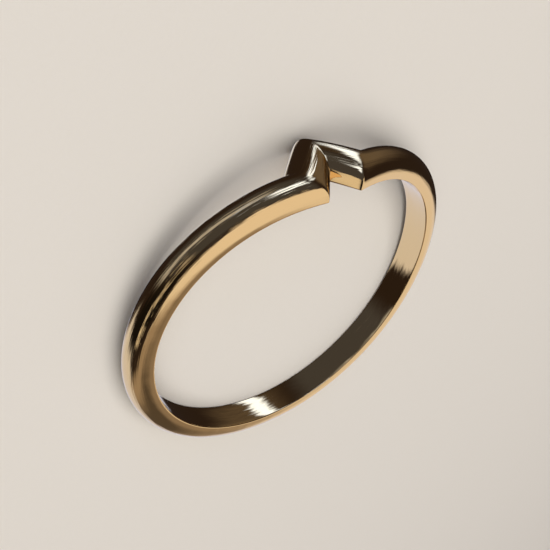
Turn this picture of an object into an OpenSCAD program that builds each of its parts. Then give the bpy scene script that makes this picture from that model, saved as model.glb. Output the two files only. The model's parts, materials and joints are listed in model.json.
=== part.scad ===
// Plain V-front wedding ring, one solid band of polished yellow gold
// The hoop lies on its side on the floor plane z = 0, the V faces -Y and the finger hole runs up

/* [Finger hole] */
// inside diameter of the band
bore_diameter = 17; // [14:0.25:22]

/* [Band section] */
// width of the band, measured square to its run
band_width = 1.65; // [1.4:0.05:2.4]
// height of the band from the finger hole to the top of the dome
band_thickness = 1.25; // [1:0.05:2]
// straight part of each side, under the dome
side_height = 0.25; // [0.2:0.05:0.5]
// small slope that breaks the inside edges
edge_break = 0.1; // [0.06:0.01:0.15]

/* [V front] */
// how far the two shoulders stand up from the plain hoop
shoulder_rise = 1.85; // [1.6:0.05:2.6]
// angle round the hoop from the point to the middle of each shoulder
shoulder_angle = 9.6; // [8:0.1:12]
// angle round the hoop from the upper to the lower corner of each shoulder
shoulder_slant = 9.6; // [7:0.1:12]
// how far the upper edge stands over the plain hoop at the point of the V
notch_rise = 0.82; // [0.5:0.02:1.1]
// how far the lower edge reaches below the plain hoop at the point of the V
point_drop = 0.32; // [0.16:0.02:0.5]
// angle round the hoop at which the sweep has died out
sweep_end = 127; // [90:1:160]
// how quickly the sweep falls away from the shoulder
sweep_power = 2.5; // [2:0.05:3]
// rounding of the outer point of the V
point_round = 0.16; // [0.05:0.01:0.3]

/* [Smoothness] */
// rows of faces across the dome
dome_steps = 18; // [12:2:24]
// rows of faces along each leg of the V
leg_steps = 8; // [6:1:12]
// rows of faces from each shoulder to the back
sweep_steps = 76; // [60:1:90]

/* [Hidden] */
bore_radius = bore_diameter / 2;
half_width = band_width / 2;
metal = [0.83, 0.65, 0.36];
// the run of the band is measured at this share of its thickness
run_share = 0.7;
run_radius = bore_radius + run_share * band_thickness;
mm_per_degree = run_radius * PI / 180;
leg_run = shoulder_angle * mm_per_degree;
half_run = 180 * mm_per_degree;
sweep_run = (sweep_end - shoulder_angle) * mm_per_degree;
slant_run = shoulder_slant * mm_per_degree;
upper_point = half_width + notch_rise;
lower_point = -half_width - point_drop;
// distance over which the slanted row at the shoulder turns square to the band
slant_fade = 6;
bore_facets = 180;
// the seam line of the bored wall runs down the plain back
seam_angle = 90;
// how far the bored hole reaches up and down, past both faces of the band
bore_reach = shoulder_rise + 2 * band_width;

// centre line of the sweep: height and slope at the distance s from the point
function sweep_left(s) = max(1 - (s - leg_run) / sweep_run, 0);
function sweep_z(s) = shoulder_rise * pow(sweep_left(s), sweep_power);
function sweep_slope(s) =
    -shoulder_rise * sweep_power / sweep_run * pow(sweep_left(s), sweep_power - 1);

// unit vector square to a line of a given slope
function square_to(slope) = [-slope, 1] / norm([1, slope]);

// share of the way across the band, from its lower to its upper edge
function across(off) = 0.5 + off / band_width;

// row of the sweep: the line square to the band, slanted near the shoulder
function fade(s) = pow(max(1 - (s - leg_run) / slant_fade, 0), 2);
function sweep_point(s, off) =
    let (at = s + slant_run * (0.5 - across(off)) * fade(s))
    [at, sweep_z(at)] + off * square_to(sweep_slope(at));

// rounding of the V, none on the notch side and full on the outer side
function point_radius(off) = point_round * (1 - across(off));
function point_softened(s, corner, r) =
    corner - norm([corner, r]) + norm([s, r]);

// row of the leg: part t of the way from the point of the V to the shoulder
function leg_point(t, off) =
    let (corner = sweep_point(leg_run, off), s = t * corner[0])
    let (start = lower_point + (upper_point - lower_point) * across(off))
    let (soft = point_softened(s, corner[0], point_radius(off)))
    [s, start + (corner[1] - start) * soft / corner[0]];

function row_point(i, off) =
    i <= leg_steps ? leg_point(i / leg_steps, off)
    : sweep_point(leg_run + (half_run - leg_run) * (i - leg_steps) / sweep_steps, off);

// outline of the section: distance from the centre line and height over the finger hole
dome = [for (j = [0 : dome_steps])
    let (a = 180 * j / dome_steps)
    [-half_width * cos(a), side_height + (band_thickness - side_height) * sin(a)]];
inner = half_width - 2 * edge_break;
section = concat(dome, [
    [half_width, edge_break],
    [inner, -edge_break],
    [-inner, -edge_break],
    [-half_width, edge_break]
]);

// wraps a point of the flat run round the hoop, on the right or the left side
function wrap(p, height, side) =
    let (a = p[0] / mm_per_degree, r = bore_radius + height)
    [side * r * sin(a), -r * cos(a), p[1]];

last_row = leg_steps + sweep_steps;
rows = concat(
    [for (i = [0 : last_row]) [i, 1]],
    [for (i = [last_row - 1 : -1 : 1]) [i, -1]]
);
row_count = len(rows);
point_count = len(section);
band_points = [for (row = rows, q = section) wrap(row_point(row[0], q[0]), q[1], row[1])];

function corner_index(i, j) = (i % row_count) * point_count + (j % point_count);
band_faces = [for (i = [0 : row_count - 1], j = [0 : point_count - 1], half = [0, 1])
    half == 0
        ? [corner_index(i, j), corner_index(i, j + 1), corner_index(i + 1, j + 1)]
        : [corner_index(i, j), corner_index(i + 1, j + 1), corner_index(i + 1, j)]];

// the band rests on the point of the V and on the back, so it leans a little
point_low = leg_point(0, -half_width)[1];
front_reach = bore_radius + edge_break;
back_reach = bore_radius + side_height;
lean = -atan2(-half_width - point_low, front_reach + back_reach);
rest_height = half_width * cos(lean) - back_reach * sin(lean);

// swept band before the finger hole is bored
module band_blank() {
    polyhedron(points = band_points, faces = band_faces, convexity = 6);
}

// round hole for the finger
module finger_hole() {
    translate([0, 0, -bore_reach])
        rotate([0, 0, seam_angle])
            cylinder(r = bore_radius, h = 2 * bore_reach, $fn = bore_facets);
}

// the whole ring, leaning as it rests on the floor
module band() {
    color(metal)
        translate([0, 0, rest_height])
            rotate([lean, 0, 0])
                difference() {
                    band_blank();
                    finger_hole();
                }
}

band();
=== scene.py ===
import json
from math import atan2, cos, pi, radians, sin

import bpy
from bpy.props import FloatProperty, FloatVectorProperty, IntProperty, PointerProperty
from mathutils import Matrix, Vector


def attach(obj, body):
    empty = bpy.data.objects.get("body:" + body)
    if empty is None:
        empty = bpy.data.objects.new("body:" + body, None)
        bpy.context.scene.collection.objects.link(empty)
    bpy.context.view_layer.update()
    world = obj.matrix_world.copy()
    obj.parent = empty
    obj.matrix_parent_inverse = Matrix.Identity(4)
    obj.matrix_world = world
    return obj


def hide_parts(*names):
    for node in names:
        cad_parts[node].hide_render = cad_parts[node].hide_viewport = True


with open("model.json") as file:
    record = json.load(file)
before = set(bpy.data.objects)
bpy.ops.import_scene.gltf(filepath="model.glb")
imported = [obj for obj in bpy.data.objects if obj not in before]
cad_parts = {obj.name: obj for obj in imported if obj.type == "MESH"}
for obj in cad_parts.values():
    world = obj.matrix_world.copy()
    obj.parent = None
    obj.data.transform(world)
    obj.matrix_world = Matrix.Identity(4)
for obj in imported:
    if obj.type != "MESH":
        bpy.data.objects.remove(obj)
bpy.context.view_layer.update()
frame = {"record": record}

bl_info = {
    "name": "V-front wedding ring",
    "version": (1, 0, 0),
    "blender": (4, 5, 0),
    "location": "3D View > Sidebar > Ring",
    "description": "A polished yellow gold band with a V front, and the stage that it lies on",
    "category": "Add Mesh",
}

MM = 0.001

# facts of the imported model: its body, the node of its band and the wall of the finger hole
BODY = "root"
NODE = "band"
FINGER_HOLE = frame["record"]["mounts"][0]
HOLE_RADIUS = FINGER_HOLE["dims"]["r_mm"] * MM
HOLE_AXIS = Vector(FINGER_HOLE["axis"])
LEAN = -atan2(HOLE_AXIS.y, HOLE_AXIS.z)


def linear(colour):
    """Turns an sRGB hex colour into linear red, green, blue and alpha."""
    channels = [int(colour[i:i + 2], 16) / 255 for i in (0, 2, 4)]
    return [c / 12.92 if c <= 0.04045 else ((c + 0.055) / 1.055) ** 2.4 for c in channels] + [1.0]


def add(tree, kind, *values, out=0, **settings):
    """Adds a node with its settings, fills its open inputs in order and gives one of its outputs.

    A value is a number, a colour, a vector, a socket to link, or None to leave the input alone.
    A slice for out gives several outputs.
    """
    node = tree.nodes.new(kind)
    for name, value in settings.items():
        setattr(node, name, value)
    inputs = [socket for socket in node.inputs if socket.enabled]
    for socket, value in zip(inputs, values):
        if isinstance(value, bpy.types.NodeSocket):
            tree.links.new(value, socket)
        elif value is not None:
            socket.default_value = value
    return [socket for socket in node.outputs if socket.enabled][out]


class Field:
    """A number that varies over a mesh. Arithmetic on it adds Math nodes to its tree."""

    def __init__(self, tree, socket):
        self.tree = tree
        self.socket = socket

    def math(self, operation, *others):
        values = [v.socket if isinstance(v, Field) else v for v in (self, *others)]
        return Field(self.tree, add(self.tree, "ShaderNodeMath", *values, operation=operation))

    def __add__(self, other):
        return self.math("ADD", other)

    def __sub__(self, other):
        return self.math("SUBTRACT", other)

    def __mul__(self, other):
        return self.math("MULTIPLY", other)

    def __truediv__(self, other):
        return self.math("DIVIDE", other)

    def __neg__(self):
        return self.math("MULTIPLY", -1)

    def __rsub__(self, other):
        return -self + other

    __radd__ = __add__
    __rmul__ = __mul__

    def clamp(self, low, high):
        return self.math("MAXIMUM", low).math("MINIMUM", high)


def hypot(a, b):
    """Length of the hypotenuse over the sides a and b."""
    return (a * a + b * b).math("SQRT")


# the dome is this much lower than the solid's, in mm, so that its finer facets stay in the box
HAIR = 0.0005


class RingSizes(bpy.types.PropertyGroup):
    """Sizes of the ring, the same ones that its solid is built from."""

    bore_radius: FloatProperty(
        name="Hole radius", description="Radius of the finger hole",
        default=HOLE_RADIUS, unit="LENGTH")
    band_width: FloatProperty(
        name="Band width", description="Width of the band, square to its run",
        default=1.65 * MM, unit="LENGTH")
    band_thickness: FloatProperty(
        name="Band thickness", description="Height from the finger hole to the top of the dome",
        default=(1.25 - HAIR) * MM, unit="LENGTH")
    side_height: FloatProperty(
        name="Side height", description="Straight part of each side, under the dome",
        default=0.25 * MM, unit="LENGTH")
    edge_round: FloatProperty(
        name="Edge rounding", description="Rounding of the edges of the finger hole",
        default=0.07 * MM, unit="LENGTH")
    shoulder_rise: FloatProperty(
        name="Shoulder rise", description="How far the shoulders stand up from the plain hoop",
        default=1.85 * MM, unit="LENGTH")
    shoulder_angle: FloatProperty(
        name="Shoulder angle", description="Angle round the hoop from the point to a shoulder",
        default=radians(9.6), unit="ROTATION")
    shoulder_slant: FloatProperty(
        name="Shoulder slant", description="Angle between the two corners of a shoulder",
        default=radians(9.6), unit="ROTATION")
    notch_rise: FloatProperty(
        name="Notch rise", description="How far the upper edge stands over the hoop at the point",
        default=0.82 * MM, unit="LENGTH")
    point_drop: FloatProperty(
        name="Point drop",
        description="How far the lower edge reaches below the hoop at the point",
        default=0.32 * MM, unit="LENGTH")
    sweep_end: FloatProperty(
        name="Sweep end", description="Angle round the hoop at which the sweep has died out",
        default=radians(127), unit="ROTATION")
    sweep_power: FloatProperty(
        name="Sweep power", description="How quickly the sweep falls away from the shoulder",
        default=2.5)
    point_round: FloatProperty(
        name="Point rounding", description="Rounding of the outer point of the V",
        default=0.16 * MM, unit="LENGTH")
    shoulder_round: FloatProperty(
        name="Shoulder rounding", description="Rounding that polishing leaves on each shoulder",
        default=0.3 * MM, unit="LENGTH")


class RingMesh(bpy.types.PropertyGroup):
    """How finely the ring's surface is divided."""

    leg_rows: IntProperty(
        name="Leg rows", description="Rows of faces along each leg of the V", default=28)
    sweep_rows: IntProperty(
        name="Sweep rows", description="Rows of faces from a shoulder to the back", default=172)


# columns of faces round the section, from the middle of the finger hole and back to it:
# hole, edge, side, dome, side, edge and hole
COLUMNS = [3, 6, 4, 56, 4, 6, 3]
COLUMN_COUNT = sum(COLUMNS)
# the run of the band is measured at this share of its thickness
RUN_SHARE = 0.7
# distance over which the slanted row at the shoulder turns square to the band
SLANT_FADE = 6 * MM
# the shoulder is rounded most at this share of the way across, and least at the edges of the band
CROWN_AT = 0.64
EDGE_CRISP = 0.12
# rows draw together at the creases of the V by these amounts
LEG_GATHER = 0.85
SWEEP_GATHER = 1.5
# a row that is this share of a leg past the shoulder is a row of the sweep
PAST_SHOULDER = 0.001
WELD = 0.00001 * MM
# the polishing lines reach their full depth at this share of the thickness over the finger hole,
# and this share of it is left in the hole
LINES_FULL_AT = 0.25
HOLE_LINES = 0.15
# soft waves across the band
WAVE_COUNT = 3.0
# patches of a brighter or duller polish: length in mm, number across the band and change of tone
PATCH_LENGTH = 3.0
PATCH_COUNT = 2.0
PATCH_TONE = 0.12
# share of each noise layer's strength that its next, finer layer has
NOISE_FALL = 0.55
SMOOTHEST = 0.02

# the floor's card: sizes of its fibres and clouds, depth of its grain and change of tone
FIBRE_SIZE = 0.35 * MM
CLOUD_SIZE = 14 * MM
GRAIN_DEPTH = 0.03 * MM
CARD_TONE = 0.05
FLOOR_HALF = 300 * MM

LAMP_SIZE = 420 * MM
LAMP_PLACE = Vector((60, -110, 280)) * MM


def section_line(part, size):
    """Distance from the centre line and height over the hole, from the column number."""
    starts = [sum(COLUMNS[:k]) for k in range(len(COLUMNS))]
    done = [((part - start) / count).clamp(0, 1) for start, count in zip(starts, COLUMNS)]
    hole_out, edge_out, side_up, over, side_down, edge_in, hole_in = done
    half, side, edge = size["Band Width"] * 0.5, size["Side Height"], size["Edge Rounding"]
    edge_out, edge_in, over = edge_out * (pi / 2), edge_in * (pi / 2), over * pi
    inner = half - edge
    off = inner * (hole_out + hole_in)
    off += edge * (edge_out.math("SINE") + 1 - edge_in.math("COSINE"))
    off += half * (over.math("COSINE") - 1)
    height = edge * (1 - edge_out.math("COSINE") - edge_in.math("SINE"))
    height += (side - edge) * (side_up - side_down)
    height += (size["Band Thickness"] - side) * over.math("SINE")
    return off, height


def band_run(side_share, off, size, rows):
    """Run and rise of a point of the band laid out flat, before it is wrapped round the hoop."""
    leg_part = rows[0] / sum(rows)
    run_radius = size["Bore Radius"] + size["Band Thickness"] * RUN_SHARE
    leg_run = size["Shoulder Angle"] * run_radius
    sweep_run = size["Sweep End"] * run_radius - leg_run
    slant_run = size["Shoulder Slant"] * run_radius
    rise, power = size["Shoulder Rise"], size["Sweep Power"]
    across = off / size["Band Width"] + 0.5

    def sweep_point(run):
        fade = (1 - (run - leg_run) / SLANT_FADE).math("MAXIMUM", 0).math("POWER", 2)
        at = run + slant_run * (0.5 - across) * fade
        left = (1 - (at - leg_run) / sweep_run).math("MAXIMUM", 0)
        slope = -rise * power / sweep_run * left.math("POWER", power - 1)
        length = hypot(slope, 1)
        return at - off * slope / length, rise * left.math("POWER", power) + off / length, slope

    # row along the leg, with the point of the V softened on its outer side
    corner_run, corner_rise, corner_slope = sweep_point(leg_run)
    t = (side_share / leg_part).math("MINIMUM", 1)
    t = t - (t * (2 * pi)).math("SINE") * (LEG_GATHER / (2 * pi))
    on_leg = t * corner_run
    start = off + size["Notch Rise"] * across - size["Point Drop"] * (1 - across)
    leg_slope = (corner_rise - start) / corner_run
    soft = size["Point Rounding"] * (1 - across)
    leg_rise = corner_rise - leg_slope * (hypot(corner_run, soft) - hypot(on_leg, soft))

    # row along the sweep, which starts from the same slanted row
    q = ((side_share - leg_part) / (1 - leg_part)).math("MAXIMUM", 0).math("POWER", SWEEP_GATHER)
    on_sweep, rise_on_sweep, slope = sweep_point(leg_run + (run_radius * pi - leg_run) * q)

    # the two meet at the shoulder, where polishing has rounded the crease on the dome
    past = (side_share - leg_part).math("GREATER_THAN", leg_part * PAST_SHOULDER)
    run = on_leg + (on_sweep - on_leg) * past
    height = leg_rise + (rise_on_sweep - leg_rise) * past
    beyond = run - corner_run
    bend = (leg_slope - corner_slope) * 0.5
    crown = 1 - ((across - CROWN_AT) / (1 - CROWN_AT)).math("POWER", 2)
    rounding = size["Shoulder Rounding"] * crown.math("MAXIMUM", EDGE_CRISP)
    height = height - bend * (hypot(beyond, rounding) - beyond.math("ABSOLUTE"))
    return run / run_radius, height


BAND_INPUTS = [
    ("Bore Radius", "bore_radius"),
    ("Band Width", "band_width"),
    ("Band Thickness", "band_thickness"),
    ("Side Height", "side_height"),
    ("Edge Rounding", "edge_round"),
    ("Shoulder Rise", "shoulder_rise"),
    ("Shoulder Angle", "shoulder_angle"),
    ("Shoulder Slant", "shoulder_slant"),
    ("Notch Rise", "notch_rise"),
    ("Point Drop", "point_drop"),
    ("Sweep End", "sweep_end"),
    ("Sweep Power", "sweep_power"),
    ("Point Rounding", "point_round"),
    ("Shoulder Rounding", "shoulder_round"),
]


def band_tree(rows):
    """Node tree that wraps a grid of rows and columns into the V-front band."""
    tree = bpy.data.node_groups.new("V-front band", "GeometryNodeTree")
    for name, key in BAND_INPUTS:
        tree.interface.new_socket(name=name, in_out="INPUT", socket_type="NodeSocketFloat")
    tree.interface.new_socket(name="Lean", in_out="INPUT", socket_type="NodeSocketFloat")
    tree.interface.new_socket(name="Metal", in_out="INPUT", socket_type="NodeSocketMaterial")
    tree.interface.new_socket(name="Geometry", in_out="OUTPUT", socket_type="NodeSocketGeometry")
    given = tree.nodes.new("NodeGroupInput").outputs
    size = {name: Field(tree, given[name]) for name, key in BAND_INPUTS}

    grid = add(tree, "GeometryNodeMeshGrid", 1.0, 1.0, 2 * sum(rows) + 1, COLUMN_COUNT + 1)
    place = add(tree, "GeometryNodeInputPosition")
    round_hoop = Field(tree, add(tree, "ShaderNodeSeparateXYZ", place, out=0))
    column = (Field(tree, add(tree, "ShaderNodeSeparateXYZ", place, out=1)) + 0.5) * COLUMN_COUNT

    off, height = section_line(column, size)
    angle, rise = band_run(round_hoop.math("ABSOLUTE") * 2, off, size, rows)
    angle = angle * round_hoop.math("SIGN")
    radius = size["Bore Radius"] + height
    x = radius * angle.math("SINE")
    y = -radius * angle.math("COSINE")
    point = add(tree, "ShaderNodeCombineXYZ", x.socket, y.socket, rise.socket)
    point = add(tree, "ShaderNodeVectorRotate", point, None, given["Lean"], rotation_type="X_AXIS")

    across = add(tree, "GeometryNodeStoreNamedAttribute", grid, None, "across",
                 (off / size["Band Width"]).socket, data_type="FLOAT")
    outward = add(tree, "GeometryNodeStoreNamedAttribute", across, None, "height",
                  (height / size["Band Thickness"]).socket, data_type="FLOAT")
    shaped = add(tree, "GeometryNodeSetPosition", outward, None, point)
    closed = add(tree, "GeometryNodeMergeByDistance", shaped, None, WELD)
    outside = add(tree, "GeometryNodeFlipFaces", closed)
    smooth = add(tree, "GeometryNodeSetShadeSmooth", outside)
    lowest = add(tree, "GeometryNodeBoundBox", smooth, out=1)
    bottom = Field(tree, add(tree, "ShaderNodeSeparateXYZ", lowest, out=2))
    lift = add(tree, "ShaderNodeCombineXYZ", 0.0, 0.0, (-bottom).socket)
    resting = add(tree, "GeometryNodeSetPosition", smooth, None, None, lift)
    real = add(tree, "GeometryNodeRealizeInstances", resting)
    result = add(tree, "GeometryNodeSetMaterial", real, None, given["Metal"])
    output = tree.nodes.new("NodeGroupOutput")
    tree.links.new(result, output.inputs["Geometry"])
    return tree


def baked(obj):
    """Turns what an object's modifiers make into its plain mesh."""
    depsgraph = bpy.context.evaluated_depsgraph_get()
    mesh = bpy.data.meshes.new_from_object(
        obj.evaluated_get(depsgraph), preserve_all_data_layers=True, depsgraph=depsgraph)
    mesh.name = obj.name
    obj.modifiers.clear()
    obj.data = mesh
    return obj


def polished_gold(finish):
    """14 carat yellow gold, cast and polished: a bright mirror with fine lengthwise lines.

    The wheel runs along the band, so its lines follow the run and blur reflections across it.
    """
    material = bpy.data.materials.new("polished_yellow_gold")
    material.use_nodes = True
    tree = material.node_tree
    shader = tree.nodes["Principled BSDF"]
    place = add(tree, "ShaderNodeTexCoord", out=3)
    x, y = (Field(tree, part)
            for part in add(tree, "ShaderNodeSeparateXYZ", place, out=slice(2)))
    # where the band's node tree says that a point of the section lies
    across, above = (Field(tree, add(tree, "ShaderNodeAttribute", out=2, attribute_name=name))
                     for name in ("across", "height"))

    def run_noise(along_mm, lines, detail):
        """Noise that is along_mm long on the run, with a number of lines across the band."""
        scale = 1 / (along_mm * MM)
        vector = add(tree, "ShaderNodeCombineXYZ",
                     (x * scale).socket, (y * scale).socket, (across * lines).socket)
        return Field(tree, add(tree, "ShaderNodeTexNoise", vector, 1.0, detail, NOISE_FALL)) - 0.5

    lines = run_noise(finish.line_length, finish.line_count, 3.0)
    waves = run_noise(finish.wave_length, WAVE_COUNT, 2.0)
    patches = run_noise(PATCH_LENGTH, PATCH_COUNT, 2.0)
    # the finger hole is polished smoother than the outside
    line_share = (above / LINES_FULL_AT).clamp(HOLE_LINES, 1)
    height = lines * line_share * finish.line_depth + waves * finish.wave_depth
    bump = add(tree, "ShaderNodeBump", 1.0, MM, None, height.socket)
    tree.links.new(bump, shader.inputs["Normal"])
    roughness = finish.roughness + (lines + patches) * finish.roughness_spread
    tree.links.new(roughness.clamp(SMOOTHEST, 1).socket, shader.inputs["Roughness"])
    shader.inputs["Metallic"].default_value = 1.0
    tone = (patches * PATCH_TONE + 1).socket
    colour = add(tree, "ShaderNodeVectorMath", finish.gold_colour[:], None, None, tone,
                 operation="SCALE")
    tree.links.new(colour, shader.inputs["Base Color"])
    return material


class RingFinish(bpy.types.PropertyGroup):
    """Finish of the gold."""

    gold_colour: FloatVectorProperty(
        name="Gold", description="Colour that the gold gives its reflections",
        default=linear("F6D298")[:3], subtype="COLOR", size=3, min=0, max=1)
    roughness: FloatProperty(
        name="Roughness", description="Blur of the reflections", default=0.07)
    roughness_spread: FloatProperty(
        name="Roughness spread", description="How much the blur varies", default=0.08)
    line_length: FloatProperty(
        name="Line length", description="Length of a polishing line, in mm", default=4.0)
    line_count: FloatProperty(
        name="Line count", description="Polishing lines across the band", default=16.0)
    line_depth: FloatProperty(
        name="Line depth", description="Depth of the polishing lines, in mm", default=0.02)
    wave_length: FloatProperty(
        name="Wave length", description="Length of a soft wave in the metal, in mm", default=2.0)
    wave_depth: FloatProperty(
        name="Wave depth", description="Depth of the soft waves, in mm", default=0.02)


class RingStage(bpy.types.PropertyGroup):
    """Camera, floor and lights."""

    azimuth: FloatProperty(
        name="Azimuth", description="Where the camera stands round the ring, from the V",
        default=radians(35.015), unit="ROTATION")
    elevation: FloatProperty(
        name="Elevation", description="Height of the camera over the floor, as an angle",
        default=radians(35.395), unit="ROTATION")
    roll: FloatProperty(
        name="Roll", description="How far the camera is rolled about its view",
        default=radians(-135.45), unit="ROTATION")
    distance: FloatProperty(
        name="Distance", description="From the camera to the point that it looks at",
        default=41.56 * MM, unit="LENGTH")
    lens: FloatProperty(
        name="Lens", description="Focal length", default=52.377, unit="CAMERA")
    aim: FloatVectorProperty(
        name="Aim", description="Point that the camera looks at",
        default=(0.527 * MM, -1.222 * MM, 0.166 * MM), subtype="TRANSLATION", size=3)
    floor_colour: FloatVectorProperty(
        name="Floor", description="Colour of the floor",
        default=linear("E2DBCF")[:3], subtype="COLOR", size=3, min=0, max=1)
    lamp_power: FloatProperty(
        name="Lamp power", description="Power of the soft lamp over the ring", default=1.0)


class RING_OT_band(bpy.types.Operator):
    """Make the gold band"""

    bl_idname = "ring.band"
    bl_label = "Band"

    def execute(self, context):
        scene = context.scene
        rows = (scene.ring_mesh.leg_rows, scene.ring_mesh.sweep_rows)
        tree = band_tree(rows)
        band = bpy.data.objects.new("gold_band", bpy.data.meshes.new("gold_band"))
        scene.collection.objects.link(band)
        wrap = band.modifiers.new("V-front band", "NODES")
        wrap.node_group = tree
        values = {name: getattr(scene.ring_sizes, key) for name, key in BAND_INPUTS}
        values["Lean"] = LEAN
        values["Metal"] = polished_gold(scene.ring_finish)
        for item in tree.interface.items_tree:
            if item.in_out == "INPUT":
                wrap[item.identifier] = values[item.name]
        baked(band)
        if not band.data.polygons:
            raise RuntimeError("the band's node tree made no faces")
        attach(band, BODY)
        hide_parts(NODE)
        return {"FINISHED"}


class RING_OT_stage(bpy.types.Operator):
    """Make the floor, the lights and the camera"""

    bl_idname = "ring.stage"
    bl_label = "Stage"

    def execute(self, context):
        scene = context.scene
        stage = scene.ring_stage
        make_camera(scene, stage)
        make_floor(scene, stage)
        make_lights(scene, stage)
        return {"FINISHED"}


def make_camera(scene, stage):
    """Camera at the azimuth, elevation and roll from which the ring is seen."""
    camera = bpy.data.objects.new("camera", bpy.data.cameras.new("camera"))
    camera.data.lens = stage.lens
    camera.data.clip_start = 1 * MM
    camera.data.clip_end = 10.0
    back = Vector((sin(stage.azimuth) * cos(stage.elevation),
                   -cos(stage.azimuth) * cos(stage.elevation),
                   sin(stage.elevation)))
    turn = back.to_track_quat("Z", "Y").to_matrix() @ Matrix.Rotation(-stage.roll, 3, "Z")
    camera.matrix_world = (
        Matrix.Translation(Vector(stage.aim) + back * stage.distance) @ turn.to_4x4())
    scene.collection.objects.link(camera)
    scene.camera = camera


def make_floor(scene, stage):
    """Plain pale floor, with the ring lying on it."""
    mesh = bpy.data.meshes.new("floor")
    signs = [(-1, -1), (1, -1), (1, 1), (-1, 1)]
    mesh.from_pydata([(x * FLOOR_HALF, y * FLOOR_HALF, 0) for x, y in signs], [], [(0, 1, 2, 3)])
    floor = bpy.data.objects.new("floor", mesh)
    mesh.materials.append(matt_card(stage))
    # left out of the mirror images in the metal, which shows the room's panels alone
    floor.visible_glossy = False
    scene.collection.objects.link(floor)


def matt_card(stage):
    """Uncoated pale card: an even matt sheet with a faint grain of fibres."""
    material = bpy.data.materials.new("matt_card")
    material.use_nodes = True
    tree = material.node_tree
    shader = tree.nodes["Principled BSDF"]
    place = add(tree, "ShaderNodeTexCoord", out=3)
    fibres = Field(tree, add(tree, "ShaderNodeTexNoise", place, 1 / FIBRE_SIZE, 4.0, 0.6)) - 0.5
    clouds = Field(tree, add(tree, "ShaderNodeTexNoise", place, 1 / CLOUD_SIZE, 2.0, 0.5)) - 0.5
    tone = (fibres * CARD_TONE + clouds * CARD_TONE + 1).socket
    colour = add(tree, "ShaderNodeVectorMath", stage.floor_colour[:], None, None, tone,
                 operation="SCALE")
    tree.links.new(colour, shader.inputs["Base Color"])
    bump = add(tree, "ShaderNodeBump", 0.5, GRAIN_DEPTH, None, fibres.socket)
    tree.links.new(bump, shader.inputs["Normal"])
    shader.inputs["Roughness"].default_value = 0.9
    return material


# the studio that the metal reflects: a dark warm room with soft-edged panels, later ones over
# earlier ones. Each has a name, azimuth from +Y towards +X, elevation, tilt, half width, half
# height and softness of the edge, all in degrees, then colour and brightness
ROOM = ("FFDCD0", 0.024)
# plain backdrop that stands behind the floor, where the camera looks past its edge
BACKDROP = ("D1C9BF", 1.0)
PANELS = [
    ("grey_wall", 146, 5, 0, 45, 53, 11, "DDE3FF", 0.08),
    ("ceiling", -20, 76, 15, 27, 41, 3, "FFFAFA", 0.82),
    ("far_wall", -40, 20, 6, 20, 42, 4, "FFFAFA", 0.76),
    ("side_wall", -124, -8, 0, 26, 24, 16, "FFEEE0", 0.13),
    ("low_card", 16, -24, 0, 43, 28, 4, "E4E9FF", 0.88),
    ("table_card", -38, -57, 0, 7, 10, 3, "E9F0FF", 0.9),
    ("tan_wall", 4, 21, 20, 24, 26, 6, "FFEDE0", 0.33),
    ("brown_wall", 1, 16, 20, 12, 22, 8, "FFEDE0", 0.09),
    ("black_card", 72, 18, 0, 20, 34, 8, "FFF0E8", 0.008),
    ("side_card", 76, 32.5, 16, 25, 3, 2.5, "FFFAF5", 0.76),
    ("front_card", 134, -9, 6, 35, 9, 5, "DDE7FF", 0.7),
    ("side_window", 155, 5, -25, 9, 4, 3, "B0C9FF", 1.0),
    ("window", 176, 21, -15, 11, 7, 3, "B0C9FF", 3.0),
    ("corner_window", -158, 0, -60, 11, 4.5, 3, "B0C9FF", 2.0),
    ("low_window", -140, -25.5, -46, 23, 3.8, 2, "B0C9FF", 3.0),
]


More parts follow.
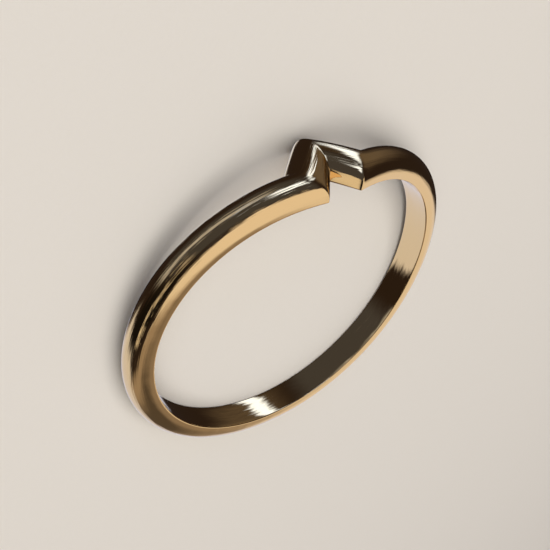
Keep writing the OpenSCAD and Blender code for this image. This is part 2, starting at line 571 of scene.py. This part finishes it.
def make_world(scene):
    """The room that the gold reflects, by direction."""
    world = bpy.data.worlds.new("studio")
    world.use_nodes = True
    tree = world.node_tree
    direction = add(tree, "ShaderNodeTexCoord")

    def lit(colour, brightness):
        return [c * brightness for c in linear(colour)[:3]] + [1.0]

    def inside(distance, half, soft):
        """1 within the half width, falling to 0 over the soft edge."""
        return Field(tree, add(tree, "ShaderNodeMapRange", distance.socket, radians(half - soft),
                               radians(half + soft), 1.0, 0.0, interpolation_type="SMOOTHSTEP"))

    colour = lit(*ROOM)
    for name, azimuth, elevation, tilt, half_width, half_height, soft, tint, brightness in PANELS:
        # turned so that the middle of the panel lies on +Y
        turn = (Matrix.Rotation(radians(tilt), 3, "Y")
                @ Matrix.Rotation(-radians(elevation), 3, "X")
                @ Matrix.Rotation(radians(azimuth), 3, "Z")).to_euler()
        local = add(tree, "ShaderNodeVectorRotate", direction, None, turn[:],
                    rotation_type="EULER_XYZ")
        x, y, z = (Field(tree, part)
                   for part in add(tree, "ShaderNodeSeparateXYZ", local, out=slice(3)))
        aside, above = x.math("ARCTAN2", y).math("ABSOLUTE"), z.math("ARCSINE").math("ABSOLUTE")
        mask = inside(aside, half_width, soft) * inside(above, half_height, soft)
        colour = add(tree, "ShaderNodeMix", mask.socket, colour, lit(tint, brightness),
                     data_type="RGBA")
    # seen directly, the room is a plain backdrop, and only the metal shows the panels
    direct = add(tree, "ShaderNodeLightPath")
    colour = add(tree, "ShaderNodeMix", direct, colour, lit(*BACKDROP), data_type="RGBA")
    tree.links.new(colour, tree.nodes["Background"].inputs["Color"])
    scene.world = world


def make_lights(scene, stage):
    """The room's light, and a soft lamp that lights the floor without showing in the metal."""
    make_world(scene)
    lamp = bpy.data.lights.new("soft_top", "AREA")
    lamp.shape = "RECTANGLE"
    lamp.size, lamp.size_y = LAMP_SIZE, LAMP_SIZE
    lamp.energy = stage.lamp_power
    top = bpy.data.objects.new("soft_top", lamp)
    turn = LAMP_PLACE.to_track_quat("Z", "Y").to_matrix()
    top.matrix_world = Matrix.Translation(LAMP_PLACE) @ turn.to_4x4()
    top.visible_glossy = False
    scene.collection.objects.link(top)
    scene.view_settings.view_transform = "Standard"


class RING_PT_panel(bpy.types.Panel):
    """Sizes, finish and stage of the ring"""

    bl_idname = "RING_PT_panel"
    bl_label = "V-front wedding ring"
    bl_space_type = "VIEW_3D"
    bl_region_type = "UI"
    bl_category = "Ring"

    def draw(self, context):
        layout = self.layout
        for group in (context.scene.ring_sizes, context.scene.ring_mesh,
                      context.scene.ring_finish, context.scene.ring_stage):
            box = layout.box()
            for key in group.__annotations__:
                box.prop(group, key)
        layout.operator(RING_OT_band.bl_idname)
        layout.operator(RING_OT_stage.bl_idname)


CLASSES = (RingSizes, RingMesh, RingFinish, RingStage, RING_OT_band, RING_OT_stage, RING_PT_panel)
GROUPS = {"ring_sizes": RingSizes, "ring_mesh": RingMesh, "ring_finish": RingFinish,
          "ring_stage": RingStage}


def register():
    for cls in CLASSES:
        bpy.utils.register_class(cls)
    for name, group in GROUPS.items():
        setattr(bpy.types.Scene, name, PointerProperty(type=group))


def unregister():
    for name in GROUPS:
        delattr(bpy.types.Scene, name)
    for cls in reversed(CLASSES):
        bpy.utils.unregister_class(cls)


def main():
    register()
    bpy.ops.ring.band()
    bpy.ops.ring.stage()


if __name__ == "__main__":
    main()
